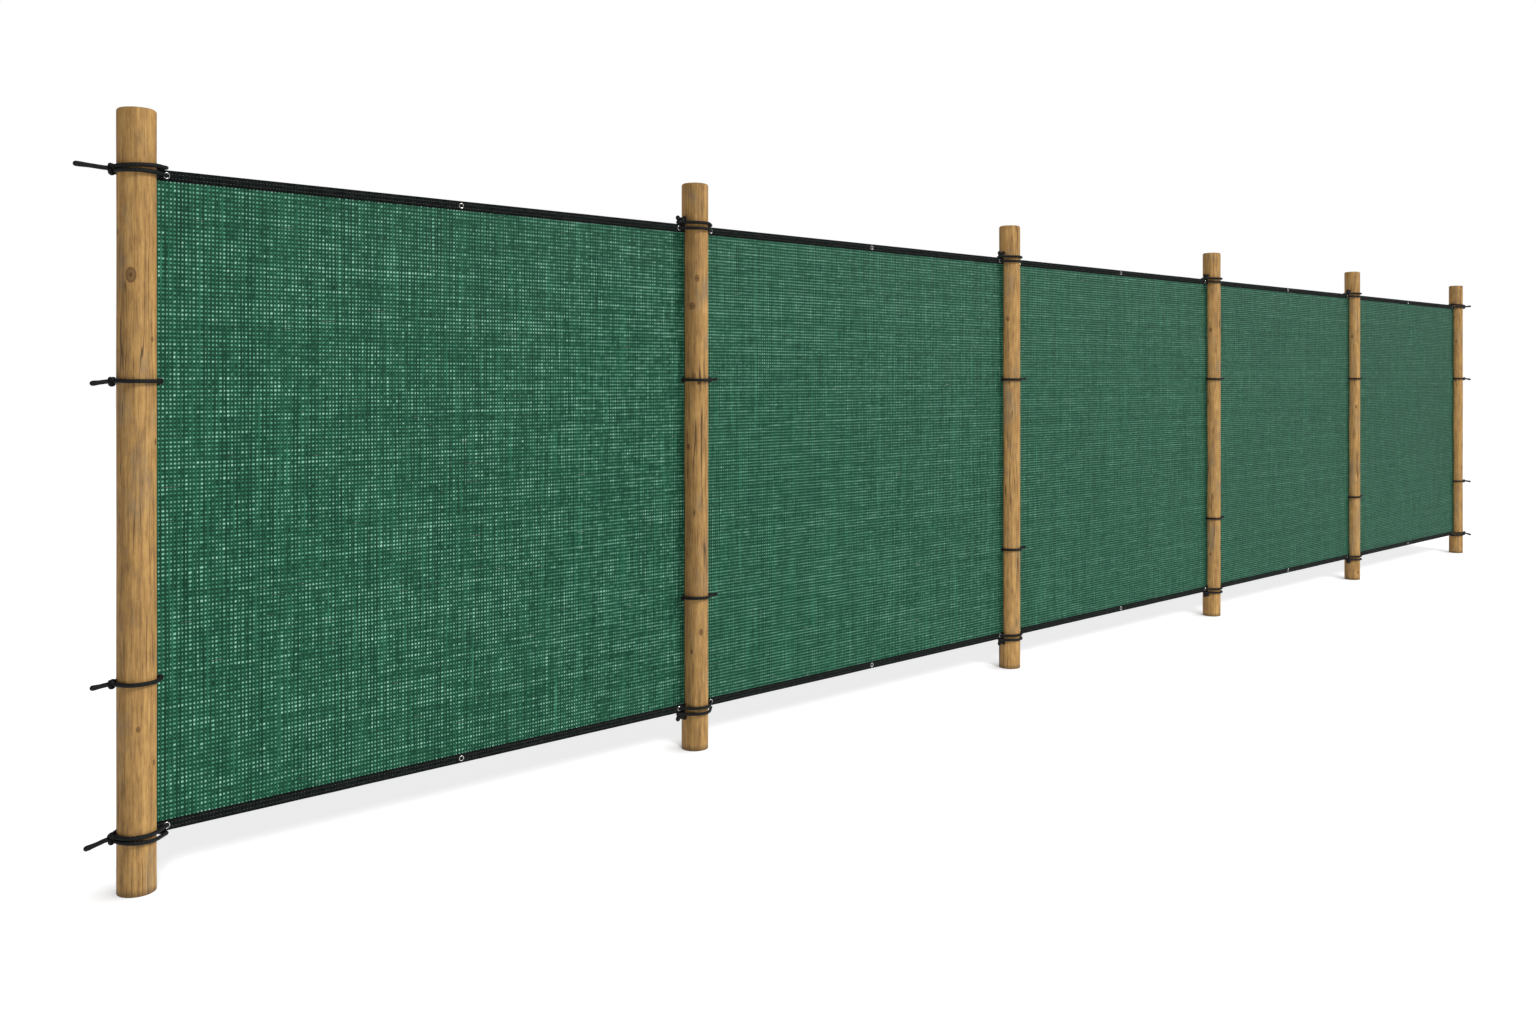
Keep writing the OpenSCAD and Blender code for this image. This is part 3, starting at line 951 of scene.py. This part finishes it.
def add_cord(shape, path, radius=CORD_R, closed=False, swell=1.0):
    """A round cord along a path. Open ends are rounded off, and swell widens it along its length."""
    count = len(path)
    ahead, sides, ups = cord_axes(path, closed)
    centres = path
    radii = radius * swell * np.ones(count)
    order = np.append(np.arange(count), 0)
    if not closed:
        tip = np.linspace(0, QUARTER_TURN, CORD_TIP_STEPS)[1:]
        tip[-1] = CORD_TIP_CLOSE * QUARTER_TURN
        head = centres[0] - ahead[0] * (radii[0] * np.sin(tip[::-1]))[:, None]
        foot = centres[-1] + ahead[-1] * (radii[-1] * np.sin(tip))[:, None]
        centres = np.concatenate([head, centres, foot])
        radii = np.concatenate([radii[0] * np.cos(tip[::-1]), radii, radii[-1] * np.cos(tip)])
        ends = np.concatenate([np.zeros(len(tip), int), np.arange(count), np.full(len(tip), count - 1)])
        sides = sides[ends]
        ups = ups[ends]
        order = np.arange(len(centres))
    angles = circle(CORD_SIDES)
    rings = centres[:, None] + radii[:, None, None] * (
        sides[:, None] * np.cos(angles)[:, None] + ups[:, None] * np.sin(angles)[:, None]
    )
    along = np.concatenate([[0.0], np.cumsum(np.linalg.norm(np.diff(centres[order], axis=0), axis=1))])
    shape.add_rings(rings[order], along=along)
    if not closed:
        shape.add_cap(rings[0, ::-1])
        shape.add_cap(rings[-1])


def arc(radius, start, stop, centre_x=0.0):
    """Points on a level arc between two angles in radians."""
    count = max(3, int(abs(stop - start) * radius / ARC_STEP))
    angle = np.linspace(start, stop, count)
    return np.stack([centre_x + radius * np.cos(angle), radius * np.sin(angle), 0.0 * angle], axis=-1)


def lash_loop(reach, turn_r, both_sides, knot_turn):
    """The level loop of one strand round a post at the origin and through the eyelets at reach.

    It starts and ends at knot_turn where there is an eyelet on the right alone.
    """
    turn_x = reach - turn_r
    spread = math.acos((LASH_R - turn_r) / turn_x)
    turn = arc(turn_r, -spread, spread, turn_x) if turn_r else np.array([[reach, 0.0, 0.0]])
    if both_sides:
        back = arc(LASH_R, spread, math.pi - spread)
        return np.concatenate([turn, back, -turn * (1, 1, 0), -back])
    return np.concatenate([
        arc(LASH_R, knot_turn - FULL_TURN, -spread), turn, arc(LASH_R, spread, knot_turn),
    ])


def add_strand(shape, rng, loop, height, slope, closed):
    """A strand on a level loop, lifted to a height that climbs along the fence by a slope."""
    path = even_steps(loop, CORD_STEP, closed)
    path[:, 2] += height + slope * path[:, 0]
    drift = STRAND_DRIFT * wander(rng, 1, len(path), STRAND_DRIFT_RUN)[0]
    path[:, 2] += drift * np.sin(np.linspace(0, math.pi, len(path)))
    add_cord(shape, path, closed=closed)


# Knots on the ties
KNOT_STEP = 2.6 * MM
TREFOIL_STEPS = 90
TAIL_R = 6.2 * MM
TAIL_SWELL = 0.18
TAIL_SWELL_FROM = 0.72
TAIL_SWELL_RUN = 0.2
TAILS = {"top": 75.0 * MM, "middle": 37.0 * MM, "bottom": 50.0 * MM, "last": 40.0 * MM}
TAIL_DROPS = {"top": -0.07, "middle": 0.12, "bottom": 0.26}
# A tail's way out of an end post's knot, as shares: along the strand, of its drop, and of its reach
TAIL_STEM = ((0.0, 0.0, -0.2), (0.02, 0.15, 0.25), (0.03, 0.55, 0.6), (0.0, 1.0, 1.0))
# End posts: a knot's size in its overhand turn, and how far its middle is from the post's axis
FIRST_KNOT_TURN = math.radians(170.0)
LAST_KNOT_TURN = math.radians(225.0)
END_KNOT_DEPTH = 0.95 * CORD_R
END_KNOT_CORD_R = 0.96 * CORD_R
END_KNOT_REACH = 1.2
PAIR_KNOT_SIZE = 4.4 * MM
PAIR_KNOT_OUT = POST_R + 11.0 * MM
SINGLE_KNOT_SIZE = 3.2 * MM
SINGLE_KNOT_OUT = POST_R + 10.5 * MM
# Inner posts, hems: the middle of the hitch, the way of one cord through it, and the turn round both
BOW_X = -69.3 * MM
BOW_RISE = 7.0 * MM
BOW_ROUTE = np.array([
    (15.0, 1.5, -7.0), (9.0, 4.5, -5.0), (0.0, 5.5, -1.0), (-8.0, 3.0, 3.0), (-13.0, 0.0, 6.0),
]) * MM
BOW_TIP = np.array([-16.0, -2.0, 10.0]) * MM
BOW_CORD_R = 1.25 * CORD_R
BOW_TURN_CORD_R = 1.2 * CORD_R
BOW_TURN_R = 8.5 * MM
BOW_TURN_SLANT = 2.0 * MM
BOW_TURN_DROP = 2.0 * MM
BOW_TURN_STEPS = 24
# Inner posts, between the hems
STOPPER_AT = np.array([53.6, -25.0, 1.2]) * MM
STOPPER_TURN = math.radians(-26.0)
STOPPER_SIZE = 1.9 * MM
STOPPER_DEPTH = 0.8 * CORD_R
STOPPER_CORD_R = 0.82 * CORD_R
STOPPER_TAIL = np.array([(0.0, 0.0, -4.0), (0.0, 0.0, 6.0), (1.0, 0.5, 14.0), (2.0, 2.0, 24.0)]) * MM
STOPPER_TAIL_R = 0.95 * CORD_R


def trefoil(size, depth):
    """A closed overhand turn across (x, y), with its crossings one above the other in z."""
    t = np.linspace(0, FULL_TURN, TREFOIL_STEPS, endpoint=False)
    x = np.sin(t) + 2 * np.sin(2 * t)
    y = np.cos(t) - 2 * np.cos(2 * t)
    return np.stack([size * x, size * y, -depth * np.sin(3 * t)], axis=-1)


def outward_frame(turn):
    """Axes of a knot on a post: along the strand, up, and away from the post."""
    away = np.array([math.cos(turn), math.sin(turn), 0.0])
    return np.stack([np.cross(UP, away), UP, away])


def add_tail(shape, points, step, radius):
    """A length of cord whose cut end is sealed, and a little thicker."""
    path = curve_through(points, step)
    share = np.linspace(0, 1, len(path))
    swell = 1.0 + TAIL_SWELL * np.clip((share - TAIL_SWELL_FROM) / TAIL_SWELL_RUN, 0, 1)
    add_cord(shape, path, radius, swell=swell)


def end_knot(shape, turn, out, height, size, tail, drop):
    """A knot with its tail on an end post. The tail leaves the post and drops by a share of its length."""
    axes = outward_frame(turn)
    centre = axes[2] * out + UP * height
    knot = even_steps(trefoil(size, END_KNOT_DEPTH), KNOT_STEP, closed=True)
    add_cord(shape, centre + knot @ axes, END_KNOT_CORD_R, closed=True)
    reach = size * END_KNOT_REACH + tail + CORD_R
    stem = np.array(TAIL_STEM) * (1.0, -drop, 1.0)
    add_tail(shape, reach * stem @ axes + centre, CORD_STEP, TAIL_R)


def bow_knot(shape, height, up):
    """A half hitch on the strand over the hem's edge, with two cut ends that stand up beside the post."""
    centre = np.array([BOW_X, 0.0, height])
    for lean in (-1.0, 1.0):
        route = np.vstack([BOW_ROUTE * (lean, lean, up), BOW_TIP * (lean, 1.0, up)])
        add_tail(shape, route + centre, KNOT_STEP, BOW_CORD_R)
    angle = circle(BOW_TURN_STEPS)
    x = BOW_TURN_SLANT * np.sin(angle)
    y = BOW_TURN_R * np.cos(angle)
    z = up * (BOW_TURN_R * np.sin(angle) - BOW_TURN_DROP)
    add_cord(shape, centre + np.stack([x, y, z], axis=-1), BOW_TURN_CORD_R, closed=True)


def stopper_knot(shape, height):
    """A small overhand knot on the front strand beside an inner post, with a short tail over the net."""
    axes = outward_frame(STOPPER_TURN)
    centre = STOPPER_AT + UP * height
    knot = even_steps(trefoil(STOPPER_SIZE, STOPPER_DEPTH), KNOT_STEP, closed=True)
    add_cord(shape, centre + knot @ axes, STOPPER_CORD_R, closed=True)
    add_tail(shape, STOPPER_TAIL @ axes + centre, CORD_STEP, STOPPER_TAIL_R)


def tail_length(i, level):
    """How long the tail of a knot on an end post is."""
    return TAILS["last" if i == POSTS else level]


def pair_tie(shape, rng, i, level, knot_turn):
    """Two strands at a hem: one through the corner eyelets and one over the hem's edge."""
    low, high = node_box(f"{level}_hem_{min(i, BAYS)}")
    z = (low[2] + high[2]) / 2
    up = 1.0 if level == "top" else -1.0
    inner = 1 < i < POSTS
    loop = lash_loop(CORNER_EYELET_X, CORNER_TURN_R, inner, knot_turn)
    add_strand(shape, rng, loop, z, 0.0, inner)
    if inner:
        add_strand(shape, rng, loop, z + up * OVER_Z, 0.0, True)
        bow_knot(shape, z + up * (OVER_Z + BOW_RISE), up)
    else:
        slope = (OVER_Z - PAIR_Z) / (CORNER_EYELET_X + LASH_R)
        add_strand(shape, rng, loop, z + up * (PAIR_Z + slope * LASH_R), up * slope, False)
        middle = z + up * PAIR_Z / 2
        tail = tail_length(i, level)
        end_knot(shape, knot_turn, PAIR_KNOT_OUT, middle, PAIR_KNOT_SIZE, tail, TAIL_DROPS[level])


def single_tie(shape, rng, i, level, knot_turn, z):
    """One strand through the side eyelets."""
    inner = 1 < i < POSTS
    loop = lash_loop(SIDE_BEND_X, 0.0, inner, knot_turn)
    add_strand(shape, rng, loop, z, 0.0, inner)
    if inner:
        stopper_knot(shape, z)
    else:
        tail = tail_length(i, level)
        end_knot(shape, knot_turn, SINGLE_KNOT_OUT, z, SINGLE_KNOT_SIZE, tail, TAIL_DROPS[level])


def cord_tie(i, level, surface):
    """The cord on one post at one hem, or at both heights between the hems. The last post's is mirrored."""
    knot_turn = LAST_KNOT_TURN if i == POSTS else FIRST_KNOT_TURN
    rng = np.random.default_rng(TIE_SEED + TIE_SEED_STEP * i + len(level))
    shape = Shape()
    if level == "middle":
        node = f"middle_ties_{i}"
        for z in SIDE_EYELET_Z:
            single_tie(shape, rng, i, level, knot_turn, z)
    else:
        node = f"{level}_tie_{i}"
        pair_tie(shape, rng, i, level, knot_turn)
    if i == POSTS:
        shape.mirror_x()
    shape.move_x(post_axis(i))
    return shape.piece(f"{level}_cord_{i}", surface, node, "cord")


CORD_BLACK = (0.004, 0.004, 0.005)
CORD_SHEEN = (0.012, 0.013, 0.013)
CORD_STOPS = [(0.35, CORD_BLACK), (0.85, CORD_SHEEN)]
CORD_FLUFF = {"scale": 220.0, "detail": 3.0}
BRAID_LENGTH = 9.0 * MM
BRAID_STRANDS = 4.0
BRAID_SHARE = 0.18
BRAID_RELIEF = 0.6 * MM


def cord_surface():
    """Black braided cord: two sets of strands that cross on its surface."""
    surface = Surface("braided_cord")
    uv = surface.uv()
    along = surface.math("MULTIPLY", uv["X"], FULL_TURN / BRAID_LENGTH)
    around = surface.math("MULTIPLY", uv["Y"], FULL_TURN * BRAID_STRANDS)
    right = surface.math("SINE", surface.math("ADD", along, around))
    left = surface.math("SINE", surface.math("SUBTRACT", along, around))
    braid = surface.math("MAXIMUM", right, left)
    level = surface.math("ADD", surface.math("MULTIPLY", braid, BRAID_SHARE), surface.noise(**CORD_FLUFF))
    surface.link(surface.ramp(level, CORD_STOPS), "Base Color")
    surface.set(Roughness=0.55, Specular_IOR_Level=0.14)
    surface.relief(braid, BRAID_RELIEF)
    return surface


def dress_fence():
    """All the pieces, post by post and panel by panel."""
    net = net_surface()
    wood = wood_surface()
    hem = hem_surface()
    thread = thread_surface()
    cord = cord_surface()
    nickel = eyelet_surface("nickel_plate", NICKEL, NICKEL_DULL)
    blacked = eyelet_surface("blacked_plate", BLACKED, BLACKED_DULL)
    for i in range(1, POSTS + 1):
        timber_post(i, wood)
        for level in ("top", "middle", "bottom"):
            cord_tie(i, level, cord)
    for i in range(1, BAYS + 1):
        panel = knit_net(i, net)
        edging = [*sewn_hem(i, "top", hem, thread), *sewn_hem(i, "bottom", hem, thread)]
        edging.append(eyelet_set(f"eyelet_rings_{i}", hem_eyelets(i), nickel, f"eyelets_{i}"))
        edging.append(eyelet_set(f"side_rings_{i}", side_eyelets(i), blacked))


add_camera()
add_stage()
dress_fence()
add_lights()
